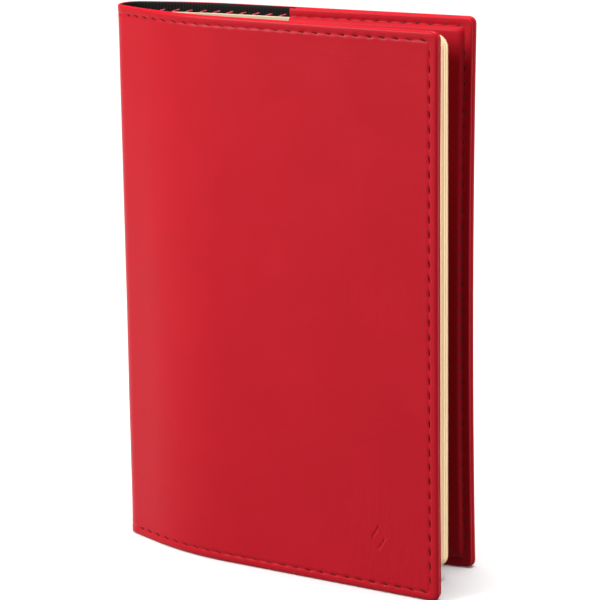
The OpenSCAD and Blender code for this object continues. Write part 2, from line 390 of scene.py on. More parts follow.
@dataclass(frozen=True)
class Thread:
    """Twisted sewing thread, with painted shade that can darken it on the pocket flaps, where the cover's
    inside lies in shadow.
    """

    name: str
    light: Colour
    dark: Colour
    # Below 1, on_flap paints shade on the pocket flaps: it blends the thread towards a darker copy of its
    # dark colour.
    on_flap: float = 1.0
    relief: float = 0.05 * MM

    def material(self) -> bpy.types.Material:
        """Builds the material."""
        g = Graph(self.name)
        twist = g.stretched((2400.0, 2400.0, 2400.0), (0.0, 0.6, 0.7))
        ply = (g.axis("X", twist) * 2.6).sine() * 0.5 + 0.5
        fuzz = g.noise(9000.0, 2.0)
        colour = g.blend(ply * 0.7 + fuzz * 0.3, self.dark, self.light)
        # Painted shade: a darker copy of the thread, blended in beyond x = 0 on the pocket flaps, stands in
        # for the shadow inside the cover.
        painted_flap_shade = tuple(c * self.on_flap**2 for c in self.dark)
        colour = g.blend(g.axis("X").step(-0.006, 0.001, 0.0, 1.0 - self.on_flap), colour, painted_flap_shade)
        height = ply * 0.8 + fuzz * 0.2
        return g.finish(colour, fuzz * 0.15 + 0.55, height, self.relief, Specular_IOR_Level=0.15)


@dataclass(frozen=True)
class Stock:
    """Paper or card with faint fibres, and a tone that changes from leaf to leaf."""

    name: str
    light: Colour
    dark: Colour
    leaf: float = 0.13 * MM
    streaks: float = 0.5
    relief: float = 0.03 * MM

    def material(self) -> bpy.types.Material:
        """Builds the material."""
        g = Graph(self.name)
        fibre = g.noise(1500.0, 4.0, None, 0.65)
        across = 1.0 / self.leaf
        leaves = g.noise(1.0, 1.0, g.stretched((across * 0.02, across, 3.0)))
        batch = g.noise(1.0, 1.0, g.stretched((20.0, across * 0.12, 1.5)))
        tone = leaves * self.streaks + batch * 0.4 + fibre * 0.25
        colour = g.blend(tone, self.dark, self.light)
        return g.finish(colour, fibre * 0.08 + 0.78, fibre * 0.4 + leaves * 0.3, self.relief)


@dataclass(frozen=True)
class Board:
    """Grey board of the stiffeners."""

    name: str
    light: Colour
    dark: Colour

    def material(self) -> bpy.types.Material:
        """Builds the material."""
        g = Graph(self.name)
        fleck = g.noise(900.0, 5.0, None, 0.7)
        return g.finish(g.blend(fleck, self.dark, self.light), fleck * 0.1 + 0.82, fleck, 0.05 * MM)


@dataclass(frozen=True)
class Ground:
    """Matt white studio floor."""

    name: str
    light: Colour
    dark: Colour

    def material(self) -> bpy.types.Material:
        """Builds the material."""
        g = Graph(self.name)
        cloud = g.noise(3.0, 2.0)
        return g.finish(g.blend(cloud, self.dark, self.light), cloud * 0.04 + 0.9, cloud, 0.01 * MM)


@dataclass
class Finishes:
    """Every finish of the notebook, built once."""

    leather: bpy.types.Material = field(init=False)
    flap: bpy.types.Material = field(init=False)
    lining: bpy.types.Material = field(init=False)
    seam: bpy.types.Material = field(init=False)
    inner_seam: bpy.types.Material = field(init=False)
    card: bpy.types.Material = field(init=False)
    pages: bpy.types.Material = field(init=False)
    glue: bpy.types.Material = field(init=False)
    board: bpy.types.Material = field(init=False)
    ground: bpy.types.Material = field(init=False)

    def __post_init__(self) -> None:
        """Builds the materials."""
        red, deep = (0.68, 0.013, 0.027), (0.63, 0.01, 0.022)
        self.leather = Leatherette("red_leatherette", red, deep).material()
        self.flap = Leatherette("red_flap_leatherette", red, deep, 0.44, 0.6).material()
        self.lining = Weave("black_weave", (0.008, 0.0085, 0.0075), (0.0015, 0.0015, 0.0015)).material()
        # Painted shade: the outer seam thread is a darker copy of the lining thread's red, standing in for
        # the shade of the groove it lies in.
        self.seam = Thread("seam_thread", (0.26, 0.005, 0.012), (0.1, 0.002, 0.005)).material()
        # Painted shade: the last figure, 0.35, darkens the lining thread where it runs on the pocket flaps.
        self.inner_seam = Thread("inner_seam_thread", (0.72, 0.13, 0.18), (0.36, 0.03, 0.05), 0.35).material()
        self.card = Stock("ivory_card", (0.93, 0.82, 0.6), (0.8, 0.66, 0.42), 0.4 * MM, 0.1).material()
        self.pages = Stock("cream_pages", (0.97, 0.74, 0.46), (0.82, 0.6, 0.33)).material()
        self.glue = Stock("binding_thread", (0.82, 0.78, 0.66), (0.6, 0.54, 0.4), 0.5 * MM, 0.4).material()
        self.board = Board("grey_board", (0.45, 0.42, 0.36), (0.3, 0.27, 0.22)).material()
        self.ground = Ground("studio_floor", (0.93, 0.93, 0.93), (0.9, 0.9, 0.9)).material()


# --------------------------------------------------------------------------------------------------- layout
class Side(Enum):
    """Half of the cover."""

    FRONT = "front"
    BACK = "back"


@dataclass(frozen=True)
class Layers:
    """Thicknesses of the cover's layers, in order from its outer face.

    The hem is the leather with its turned edge, the bed is the glue under the flap's rim, and flap_rim is
    the rim's thickness as a share of the flap's.
    """

    leather: float = 1.2 * MM
    hem: float = 1.8 * MM
    lining: float = 0.3 * MM
    card: float = 0.4 * MM
    slack: float = 0.05 * MM
    flap: float = 0.8 * MM
    flap_bed: float = 0.02 * MM
    flap_rim: float = 1.2

    @property
    def flap_in(self) -> float:
        """Depth of the pocket flap's face towards the card."""
        return self.hem + self.lining + self.card + 2 * self.slack

    @property
    def inner_face(self) -> float:
        """Depth of the pocket flap's face towards the pages."""
        return self.flap_in + self.flap

    @property
    def rim_in(self) -> float:
        """Depth of the sewn rim's face towards the hem."""
        return self.hem + self.flap_bed

    @property
    def rim_t(self) -> float:
        """Thickness of the flap's sewn rim."""
        return self.flap * self.flap_rim


@dataclass(frozen=True)
class Seam:
    """The stitching along the free edges, with its slants in the rows and in the column, in radians."""

    inset: float = 2.5 * MM
    pitch: float = 4.0 * MM
    length: float = 3.2 * MM
    inner_length: float = 3.1 * MM
    spine_length: float = 2.4 * MM
    width: float = 0.56 * MM
    sag: float = 0.1 * MM
    spine_sag: float = 0.2 * MM
    inner_sag: float = 0.25 * MM
    slants: tuple[float, float] = (-0.24, 0.12)
    inner_slants: tuple[float, float] = (0.3, 0.15)
    groove: float = 0.34 * MM
    groove_w: float = 0.42 * MM


@dataclass(frozen=True)
class Profile:
    """Plan line of one half of the cover, from the middle of the spine to its fore-edge.

    It runs round the spine, straight along the joint, through a soft bend and straight to the fore-edge.
    """

    start: tuple[float, float]
    spine_r: float
    spine_turn: float
    joint: float
    bend_r: float
    bend_turn: float
    flat: float
    mirror: int

    @property
    def fold(self) -> float:
        """Distance at which the spine meets the joint."""
        return self.spine_r * self.spine_turn

    @property
    def edge(self) -> float:
        """Distance at which the joint meets the cover."""
        return self.fold + self.joint

    @property
    def panel(self) -> float:
        """Distance at which the soft bend meets the flat panel."""
        return self.edge + self.bend_r * self.bend_turn

    @property
    def length(self) -> float:
        """Whole distance to the fore-edge."""
        return self.panel + self.flat

    def heading(self, s: np.ndarray) -> np.ndarray:
        """Heading of the line, in radians, before it is mirrored.

        Args:
            s: Distances along the line.

        Returns:
            One angle for each distance.
        """
        turned = np.clip(s, 0.0, self.fold) / self.spine_r
        turned = turned + (np.clip(s, self.edge, self.panel) - self.edge) / self.bend_r
        return turned - math.pi / 2

    def inward(self, s: np.ndarray) -> np.ndarray:
        """Unit vectors from the outer face towards the pages.

        Args:
            s: Distances along the line.

        Returns:
            One row of x and y for each distance.
        """
        h = self.heading(s)
        return np.stack([-np.sin(h), np.cos(h) * self.mirror], axis=-1)

    def at(self, s: np.ndarray, depth: np.ndarray | float = 0.0) -> np.ndarray:
        """Points of the plan.

        Args:
            s: Distances along the line.
            depth: Depths inwards from the outer face.

        Returns:
            One row of x and y for each distance.
        """
        s = np.asarray(s, float)
        h = self.heading(s)
        last = self.spine_turn - math.pi / 2
        x = self.spine_r * (1 + np.sin(np.minimum(h, last)))
        y = -self.spine_r * np.cos(np.minimum(h, last))
        run = np.clip(s - self.fold, 0.0, self.joint)
        x, y = x + run * math.cos(last), y + run * math.sin(last)
        x = x + self.bend_r * (np.sin(np.maximum(h, last)) - math.sin(last))
        y = y + self.bend_r * (math.cos(last) - np.cos(np.maximum(h, last)))
        end = last + self.bend_turn
        run = np.maximum(s - self.panel, 0.0)
        x, y = x + run * math.cos(end), y + run * math.sin(end)
        plan = np.stack([x + self.start[0], y * self.mirror + self.start[1]], axis=-1)
        return plan + self.inward(s) * np.broadcast_to(depth, s.shape)[..., None]

    def point(self, s: float, depth: float, z: float) -> Vector:
        """One point in space.

        Args:
            s: Distance along the line.
            depth: Depth inwards from the outer face.
            z: Height.

        Returns:
            The point.
        """
        x, y = self.at(np.array([s]), depth)[0]
        return Vector((x, y, z))


@dataclass(frozen=True)
class Layout:
    """Where the pieces lie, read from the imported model."""

    profiles: dict[Side, Profile]
    height: float
    layers: Layers = Layers()
    seam: Seam = Seam()

    @classmethod
    def read(cls, frame: dict) -> "Layout":
        """Reads the layout.


        Returns:
            The layout.
        """
        pivots = {j["name"]: Vector(j["pos_m"]) for j in frame["joints"]}
        mounts = {m["name"]: m for m in frame["record"]["mounts"]}
        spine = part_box("spine_leather")
        layers = Layers()
        profiles = {}
        middle = (pivots["front_opening"].y + pivots["back_opening"].y) / 2
        for side, mirror in ((Side.FRONT, 1), (Side.BACK, -1)):
            fold, edge = pivots[f"{side.value}_opening"], pivots[f"{side.value}_cover_bend"]
            low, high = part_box(f"{side.value}_cover_leather")
            slope = math.atan2(abs(edge.y - fold.y), edge.x - fold.x)
            face = mounts[f"{side.value}_face"]
            out, on = Vector(face["axis"]), Vector(face["pos_m"])
            lean = math.atan2(abs(out.x), abs(out.y))
            turn = slope - lean
            bend_r = (on - edge).dot(out) / (1 - math.cos(turn))
            bend_x = edge.x + bend_r * (math.sin(slope) - math.sin(lean))
            corner = high.x - math.sin(lean) * layers.hem
            profiles[side] = Profile(
                start=(spine[0].x, middle),
                spine_r=(fold.x - spine[0].x) / (1 - math.sin(slope)),
                spine_turn=math.pi / 2 - slope,
                joint=math.hypot(edge.x - fold.x, edge.y - fold.y),
                bend_r=bend_r,
                bend_turn=turn,
                flat=(corner - bend_x) / math.cos(lean),
                mirror=mirror,
            )
        return cls(profiles, high.z - low.z, layers)


# --------------------------------------------------------------------------------------------------- shells
@dataclass
class Grid:
    """Points laid out flat: along the profile, over the foot, and in from the nearest free edge."""

    s: np.ndarray
    z: np.ndarray
    e: np.ndarray
    faces: list[tuple[int, int, int, int]]


# Distances from the free edge at which a plate has a row of points, closest where it is rounded or sewn.
RIM_STEPS = (0, 0.05, 0.17, 0.36, 0.6, 0.9, 1.25, 1.65, 1.95, 2.2, 2.5, 2.8, 3.05, 3.4, 4.0, 4.9)
RIM = tuple(x * MM for x in RIM_STEPS)
# Width of the border that those rows fill, and how far beyond it the points bunch towards a corner.
RIM_W = 6.0 * MM
CORNER_ZONE = 3.0 * MM
# Share of the points near a corner that lie on the straight edge, so that the others make its curve round.
STRAIGHT_SHARE = 0.4
# Two distances closer than this are the same.
TINY = 1e-7


def spread(
    low: float, high: float, step: float, fine: Sequence[tuple[float, float, float]] = ()
) -> np.ndarray:
    """Places from low to high, closer together where asked.

    Args:
        low: First place.
        high: Last place.
        step: Spacing.
        fine: Stretches with their own spacing, as start, end and spacing.

    Returns:
        The places, in order.
    """
    stops = list(np.linspace(low, high, max(2, round((high - low) / step) + 1)))
    for start, end, near in fine:
        start, end = max(low, start), min(high, end)
        if end - start > near:
            left, right = start - near / 2, end + near / 2
            stops = [p for p in stops if p in (low, high) or not left < p < right]
            stops += list(np.linspace(start, end, round((end - start) / near) + 1))
    return np.array(sorted(set(stops)))


def strip_grid(start: float, end: float, low: float, high: float, step: float) -> Grid:
    """Grid of a strip with free edges at head and tail.

    Args:
        start: Where it starts along the profile.
        end: Where it ends.
        low: Height of its tail edge.
        high: Height of its head edge.
        step: Spacing.

    Returns:
        The grid.
    """
    columns = spread(start, end, step)
    inner = spread(low + RIM_W, high - RIM_W, 2.5 * step)
    rows = np.concatenate([[low + e for e in RIM], inner, [high - e for e in reversed(RIM)]])
    s, z = (m.ravel() for m in np.meshgrid(columns, rows, indexing="ij"))
    n = len(rows)
    faces = [
        (i * n + j, (i + 1) * n + j, (i + 1) * n + j + 1, i * n + j + 1)
        for i in range(len(columns) - 1)
        for j in range(n - 1)
    ]
    return Grid(s, z, np.minimum(z - low, high - z), faces)


def corner_point(share: float, e: float, reach: float, radius: float) -> tuple[float, float]:
    """Point of a contour near a round corner.

    Args:
        share: How far along the contour, from the zone's start at 0 to the corner's middle at 1.
        e: How far the contour lies in from the free edges.
        reach: How far the zone's start lies from the corner.
        radius: Radius of the free edge's corner.

    Returns:
        Distances from the far edge and from the near edge.
    """
    round_r = radius * (1 - e / RIM_W)
    straight = reach - e - round_r
    even = straight / (straight + math.pi / 4 * round_r)
    turn = even + (STRAIGHT_SHARE - even) * (1 - e / RIM_W)
    if share <= turn or round_r < TINY:
        return reach - straight * min(share / turn, 1.0), e
    a = (share - turn) / (1 - turn) * math.pi / 4
    return e + round_r * (1 - math.sin(a)), e + round_r * (1 - math.cos(a))


def plate_grid(
    start: float,
    end: float,
    low: float,
    high: float,
    radius: float,
    columns: np.ndarray,
    rows: np.ndarray,
) -> Grid:
    """Grid of a plate with free edges at head, fore-edge and tail, joined by round corners.

    Args:
        start: Where it starts along the profile.
        end: Its fore-edge.
        low: Height of its tail edge.
        high: Height of its head edge.
        radius: Radius of its corners.
        columns: Places of the inner points along the profile, up to the rim.
        rows: Heights of the inner points, between the rims.

    Returns:
        The grid.
    """
    n, m = len(columns), len(rows)
    reach = RIM_W + CORNER_ZONE
    points = [(s, z, min(z - low, high - z, end - s)) for s in columns for z in rows]
    faces = [
        (i * m + j, (i + 1) * m + j, (i + 1) * m + j + 1, i * m + j + 1)
        for i in range(n - 1)
        for j in range(m - 1)
    ]
    loop = [i * m for i in range(n)] + [(n - 1) * m + j for j in range(1, m)]
    loop += [i * m + m - 1 for i in reversed(range(n - 1))]

    def outwards(k: int, e: float) -> tuple[float, float]:
        """Where a point of the inner border lies on the contour at e.

        Args:
            k: The point's number.
            e: How far the contour lies in from the free edges.

        Returns:
            Its place along the profile and its height.
        """
        s, z, _ = points[k]
        foot = z - low < (high - low) / 2
        far_s, near_z = end - s, (z - low if foot else high - z)
        if near_z <= RIM_W + TINY:
            a, b = far_s, e
            if far_s < reach:
                a, b = corner_point((reach - far_s) / CORNER_ZONE, e, reach, radius)
        else:
            a, b = e, near_z
            if near_z < reach:
                b, a = corner_point((reach - near_z) / CORNER_ZONE, e, reach, radius)
        return end - a, (low + b if foot else high - b)

    ring = loop
    for e in reversed(RIM):
        after = []
        for k in loop:
            s, z = outwards(k, e)
            after.append(len(points))
            points.append((s, z, e))
        faces += [(ring[q], after[q], after[q + 1], ring[q + 1]) for q in range(len(loop) - 1)]
        ring = after
    table = np.array(points)
    return Grid(table[:, 0], table[:, 1], table[:, 2], faces)


def rounded(e: np.ndarray, radius: np.ndarray | float) -> np.ndarray:
    """How far a rounded rim falls back from its face.

    Args:
        e: Distances in from the free edge.
        radius: Half of the rim's thickness.

    Returns:
        The fall, from the radius at the edge to 0 at a radius inside it.
    """
    x = np.clip(1 - e / radius, 0.0, 1.0)
    return radius * (1 - np.sqrt(np.maximum(1 - x * x, 0.0)))


def ease(x: np.ndarray) -> np.ndarray:
    """Smooth step from 0 to 1."""
    x = np.clip(x, 0.0, 1.0)
    return x * x * (3 - 2 * x)


# Waves of a soft surface: repeats along the profile and up, and strength.
WAVES = ((61, 23, 0.4), (-37, 58, 0.3), (118, -41, 0.18), (29, 131, 0.12))


def swell(s: np.ndarray, z: np.ndarray, seed: float) -> np.ndarray:
    """Slow waves of a soft surface, from about -1 to 1.

    Args:
        s: Distances along the profile.
        z: Heights.
        seed: Phase of the waves.

    Returns:
        One value for each point.
    """
    total = np.zeros_like(s)
    for k, (a, b, share) in enumerate(WAVES):
        total += share * np.sin(2 * math.pi * (s * a + z * b) / 2.6 + seed * (k + 1))
    return total


@dataclass
class Bow:
    """How far a fore-edge draws in at half height."""

    amount: float
    start: float
    end: float
    height: float

    def shift(self, s: np.ndarray, z: np.ndarray) -> np.ndarray:
        """Places along the profile after the edge has drawn in.

        Args:
            s: Places before.
            z: Heights.

        Returns:
            The new places.
        """
        arch = 4 * z * (self.height - z) / self.height**2
        return s - self.amount * arch * ease((s - self.start) / (self.end - self.start))


def shell(
    name: str,
    profile: Profile,
    grid: Grid,
    outer: np.ndarray,
    inner: np.ndarray,
    material: bpy.types.Material,
    bow: Bow | None = None,
) -> bpy.types.Object:
    """Closed shell between two depths, whose faces meet along the free edges.

    Args:
        name: The piece's name.
        profile: Plan line that it follows.
        grid: Its points, laid out flat.
        outer: Depth of its outer face at each point.
        inner: Depth of its inner face at each point.
        material: Its finish.
        bow: How its fore-edge draws in.

    Returns:
        The piece.
    """
    place = grid.s if bow is None else bow.shift(grid.s, grid.z)
    rim = grid.e < TINY
    outer = np.where(rim, (outer + inner) / 2, outer)
    faces = np.array(grid.faces)
    n = len(grid.s)
    mates = np.where(rim, np.arange(n), np.cumsum(~rim) + n - 1)
    a, b = profile.at(place, outer), profile.at(place[~rim], inner[~rim])
    points = np.vstack([np.column_stack([a, grid.z]), np.column_stack([b, grid.z[~rim]])])
    sides = np.concatenate([faces[:, [k, (k + 1) % 4]] for k in range(4)])
    found = np.unique(np.sort(sides, axis=1), axis=0, return_inverse=True, return_counts=True)
    border = sides[found[2][found[1].ravel()] == 1]
    polygons = [tuple(int(v) for v in f) for f in faces]
    polygons += [tuple(int(v) for v in mates[f[::-1]]) for f in faces]
    walls = []
    for p, q in border:
        if rim[p] and rim[q]:
            continue
        wall = [int(q), int(p), int(mates[p]), int(mates[q])]
        polygons.append(tuple(dict.fromkeys(wall)))
        walls += [(int(p), int(q)), (int(mates[p]), int(mates[q]))]
    mesh = bpy.data.meshes.new(name)
    mesh.from_pydata(points.tolist(), [], polygons)
    sheet = np.column_stack([place, grid.z])
    return finished(name, mesh, material, np.vstack([sheet, sheet[~rim]]), {tuple(sorted(w)) for w in walls})


def finished(
    name: str,
    mesh: bpy.types.Mesh,
    material: bpy.types.Material,
    flat: np.ndarray | None = None,
    sharp: set[tuple[int, int]] | None = None,
) -> bpy.types.Object:
    """Turns a mesh into a smooth-shaded piece with outward faces.

    Args:
        name: The piece's name.
        mesh: The mesh.
        material: Its finish.
        flat: Place of each point on the flat sheet, for a pattern that follows the surface.
        sharp: Edges that stay crisp.

    Returns:
        The piece.
    """
    work = bmesh.new()
    work.from_mesh(mesh)
    bmesh.ops.recalc_face_normals(work, faces=work.faces)
    for f in work.faces:
        f.smooth = True
    if sharp:
        for e in work.edges:
            if tuple(sorted((e.verts[0].index, e.verts[1].index))) in sharp:
                e.smooth = False
    work.to_mesh(mesh)
    work.free()
    if flat is not None:
        corners = np.zeros(len(mesh.loops), int)
        mesh.loops.foreach_get("vertex_index", corners)
        layer = mesh.uv_layers.new(name="sheet")
        layer.data.foreach_set("uv", flat[corners].astype(np.float32).ravel())
    mesh.materials.clear()
    mesh.materials.append(material)
    piece = bpy.data.objects.new(name, mesh)
    bpy.context.scene.collection.objects.link(piece)
    return piece


# ----------------------------------------------------------------------------------------- geometry nodes
class Recipe:
    """A Geometry Nodes tree built in code."""

    def __init__(self, name: str, sizes: dict[str, float | int]) -> None:
        """Starts a tree with named inputs.

        Args:
            name: The tree's name.
            sizes: Its inputs: a whole number makes an integer socket.
        """
        self.tree = bpy.data.node_groups.new(name, "GeometryNodeTree")
        face = self.tree.interface
        face.new_socket("Geometry", in_out="INPUT", socket_type="NodeSocketGeometry")
        face.new_socket("Geometry", in_out="OUTPUT", socket_type="NodeSocketGeometry")
        self.keys: dict[str, str] = {}
        kinds = {k: "NodeSocketInt" if isinstance(v, int) else "NodeSocketFloat" for k, v in sizes.items()}
        for key, kind in {**kinds, "Finish": "NodeSocketMaterial"}.items():
            self.keys[key] = face.new_socket(key, in_out="INPUT", socket_type=kind).identifier
        self.given = self.tree.nodes.new("NodeGroupInput").outputs
        self.sizes = sizes

    def node(self, kind: str, settings: dict | None = None, sockets: dict | None = None) -> bpy.types.Node:
        """Adds a node.

        Args:
            kind: The node's type.
            settings: Its own settings.
            sockets: Values or links by socket name or number.

        Returns:
            The node.
        """
        made = self.tree.nodes.new(kind)
        for key, value in (settings or {}).items():
            setattr(made, key, value)
        for key, value in (sockets or {}).items():
            if isinstance(value, bpy.types.NodeSocket):
                self.tree.links.new(value, made.inputs[key])
            else:
                made.inputs[key].default_value = value
        return made

    def sum(self, operation: str, *terms: object) -> bpy.types.NodeSocket:
        """Adds a Math node.

        Args:
            operation: The node's operation.
            terms: Its values or links.

        Returns:
            Its result.
        """
        return self.node("ShaderNodeMath", {"operation": operation}, dict(enumerate(terms))).outputs[0]

    def close(self, geometry: bpy.types.NodeSocket) -> None:
        """Ends the tree with real geometry in its finish.

        Args:
            geometry: What the tree has made.
        """
        real = self.node("GeometryNodeRealizeInstances", None, {"Geometry": geometry}).outputs[0]
        smooth = self.node("GeometryNodeSetShadeSmooth", None, {0: real}).outputs[0]
        finish = {"Geometry": smooth, "Material": self.given["Finish"]}
        dressed = self.node("GeometryNodeSetMaterial", None, finish).outputs[0]
        self.node("NodeGroupOutput", None, {"Geometry": dressed})

    def run(
        self, name: str, mesh: bpy.types.Mesh, material: bpy.types.Material, **sizes: float
    ) -> bpy.types.Object:
        """Runs the tree on a mesh and keeps the result as a plain piece.

        Args:
            name: The piece's name.
            mesh: What the tree starts from.
            material: The piece's finish.
            sizes: Inputs that differ from the tree's own, with _ for a space.

        Returns:
            The piece.
        """
        source = bpy.data.objects.new(f"{name}_source", mesh)
        bpy.context.scene.collection.objects.link(source)
        modifier = source.modifiers.new("recipe", "NODES")
        modifier.node_group = self.tree
        given = {**self.sizes, **{k.replace("_", " "): v for k, v in sizes.items()}}
        for key, value in given.items():
            modifier[self.keys[key]] = value
        modifier[self.keys["Finish"]] = material
        graph = bpy.context.evaluated_depsgraph_get()
        made = bpy.data.meshes.new_from_object(source.evaluated_get(graph), depsgraph=graph)
        made.name = name
        bpy.data.objects.remove(source)
        for attribute in [a.name for a in made.attributes if a.name in ("outward", "slant")]:
            made.attributes.remove(made.attributes[attribute])
        return finished(name, made, material)


def stitch_recipe() -> Recipe:
    """Tree that sews stitches along a line whose points hold an outward direction and a slant."""
    r = Recipe("stitch_line", {"Pitch": 0.004, "Length": 0.003, "Width": 0.0005, "Sag": 0.0002})
    given = r.given
    line = r.node("GeometryNodeMeshToCurve", None, {0: given["Geometry"]}).outputs[0]
    evenly = r.node(
        "GeometryNodeResampleCurve", {"mode": "LENGTH"}, {"Curve": line, "Length": given["Pitch"]}
    ).outputs[0]
    half = r.sum("MULTIPLY", given["Length"], 0.5)
    ahead = r.node("ShaderNodeCombineXYZ", None, {0: half}).outputs[0]
    behind = r.node("ShaderNodeCombineXYZ", None, {0: r.sum("MULTIPLY", half, -1.0)}).outputs[0]
    bar = r.node("GeometryNodeCurvePrimitiveLine", None, {"Start": behind, "End": ahead}).outputs[0]
    bar = r.node("GeometryNodeResampleCurve", {"mode": "COUNT"}, {"Curve": bar, "Count": 8}).outputs[0]
    share = r.node("GeometryNodeSplineParameter").outputs["Factor"]
    out = r.sum("ABSOLUTE", r.sum("MULTIPLY_ADD", share, 2.0, -1.0))
    fall = r.sum("MULTIPLY", r.sum("POWER", out, 2.0), given["Sag"])
    dip = r.node("ShaderNodeCombineXYZ", None, {2: r.sum("MULTIPLY", fall, -1.0)}).outputs[0]
    bar = r.node("GeometryNodeSetPosition", None, {"Geometry": bar, "Offset": dip}).outputs[0]
    slim = r.sum("SQRT", r.sum("SUBTRACT", 1.06, r.sum("POWER", out, 3.0)))
    bar = r.node("GeometryNodeSetCurveRadius", None, {"Curve": bar, "Radius": slim}).outputs[0]
    ply = r.node(
        "GeometryNodeCurvePrimitiveCircle",
        {"mode": "RADIUS"},
        {"Resolution": 7, "Radius": r.sum("MULTIPLY", given["Width"], 0.5)},
    ).outputs[0]
    thread = r.node("GeometryNodeCurveToMesh", None, {"Curve": bar, "Profile Curve": ply, "Fill Caps": True})
    scale = next(i for i in thread.inputs if i.name == "Scale") if "Scale" in thread.inputs else None
    if scale is not None:
        r.tree.links.new(slim, scale)
    outward = r.node(
        "GeometryNodeInputNamedAttribute", {"data_type": "FLOAT_VECTOR"}, {"Name": "outward"}
    ).outputs["Attribute"]
    tangent = r.node("GeometryNodeInputTangent").outputs[0]
    frame = r.node(
        "FunctionNodeAxesToRotation", {"primary_axis": "X", "secondary_axis": "Z"}, {0: tangent, 1: outward}
    ).outputs[0]
    slant = r.node("GeometryNodeInputNamedAttribute", {"data_type": "FLOAT"}, {"Name": "slant"})
    lean = r.node("ShaderNodeCombineXYZ", None, {2: slant.outputs["Attribute"]}).outputs[0]
    turn = r.node("FunctionNodeEulerToRotation", None, {0: lean}).outputs[0]
    frame = r.node("FunctionNodeRotateRotation", {"rotation_space": "LOCAL"}, {0: frame, 1: turn}).outputs[0]
    sewn = r.node(
        "GeometryNodeInstanceOnPoints",
        None,
        {"Points": evenly, "Instance": thread.outputs[0], "Rotation": frame},
    ).outputs[0]
    r.close(sewn)
    return r


def leaf_recipe() -> Recipe:
    """Tree that stacks leaves between the two faces of a section."""
    sizes = {
        "Leaves": 12, "Spine X": 0.0, "Fore X": 0.1, "Spine Y": 0.0, "Spine Pitch": 0.0001,
        "Fore Y": 0.0, "Fore Pitch": 0.00014, "Jitter": 0.0001, "Seed": 1,
    }
    r = Recipe("leaf_stack", sizes)
    given = r.given
    line = r.node(
        "GeometryNodeMeshLine", {"mode": "OFFSET"}, {"Count": given["Leaves"], "Offset": (0.0, 0.0, 0.0)}
    ).outputs[0]
    leaves = r.node(
        "GeometryNodeInstanceOnPoints", None, {"Points": line, "Instance": given["Geometry"]}
    ).outputs[0]
    number = r.node("GeometryNodeInputIndex").outputs[0]
    kept = r.node(
        "GeometryNodeStoreNamedAttribute",
        {"data_type": "FLOAT", "domain": "INSTANCE"},
        {"Geometry": leaves, "Name": "leaf", "Value": number},
    ).outputs[0]
    real = r.node("GeometryNodeRealizeInstances", None, {"Geometry": kept}).outputs[0]
    leaf = r.node(
        "GeometryNodeInputNamedAttribute", {"data_type": "FLOAT"}, {"Name": "leaf"}
    ).outputs["Attribute"]
    middle = r.sum("ADD", leaf, 0.5)
    at_spine = r.sum("MULTIPLY_ADD", middle, given["Spine Pitch"], given["Spine Y"])
    at_fore = r.sum("MULTIPLY_ADD", middle, given["Fore Pitch"], given["Fore Y"])
    where = r.node("ShaderNodeSeparateXYZ", None, {0: r.node("GeometryNodeInputPosition").outputs[0]}).outputs
    run = r.sum("SUBTRACT", given["Fore X"], given["Spine X"])
    share = r.sum("DIVIDE", r.sum("SUBTRACT", where[0], given["Spine X"]), run)
    across = r.sum("MULTIPLY_ADD", r.sum("SUBTRACT", at_fore, at_spine), share, at_spine)
    loose = r.node(
        "FunctionNodeRandomValue",
        {"data_type": "FLOAT"},
        {2: -1.0, 3: 0.15, "ID": leaf, "Seed": given["Seed"]},
    ).outputs[1]
    drawn = r.sum("MULTIPLY", r.sum("MULTIPLY", loose, given["Jitter"]), share)
    offset = r.node("ShaderNodeCombineXYZ", None, {0: drawn, 1: across}).outputs[0]
    placed = r.node("GeometryNodeSetPosition", None, {"Geometry": real, "Offset": offset}).outputs[0]
    plain = r.node("GeometryNodeRemoveAttribute", None, {"Geometry": placed, "Name": "leaf"}).outputs[0]
    r.close(plain)
    return r


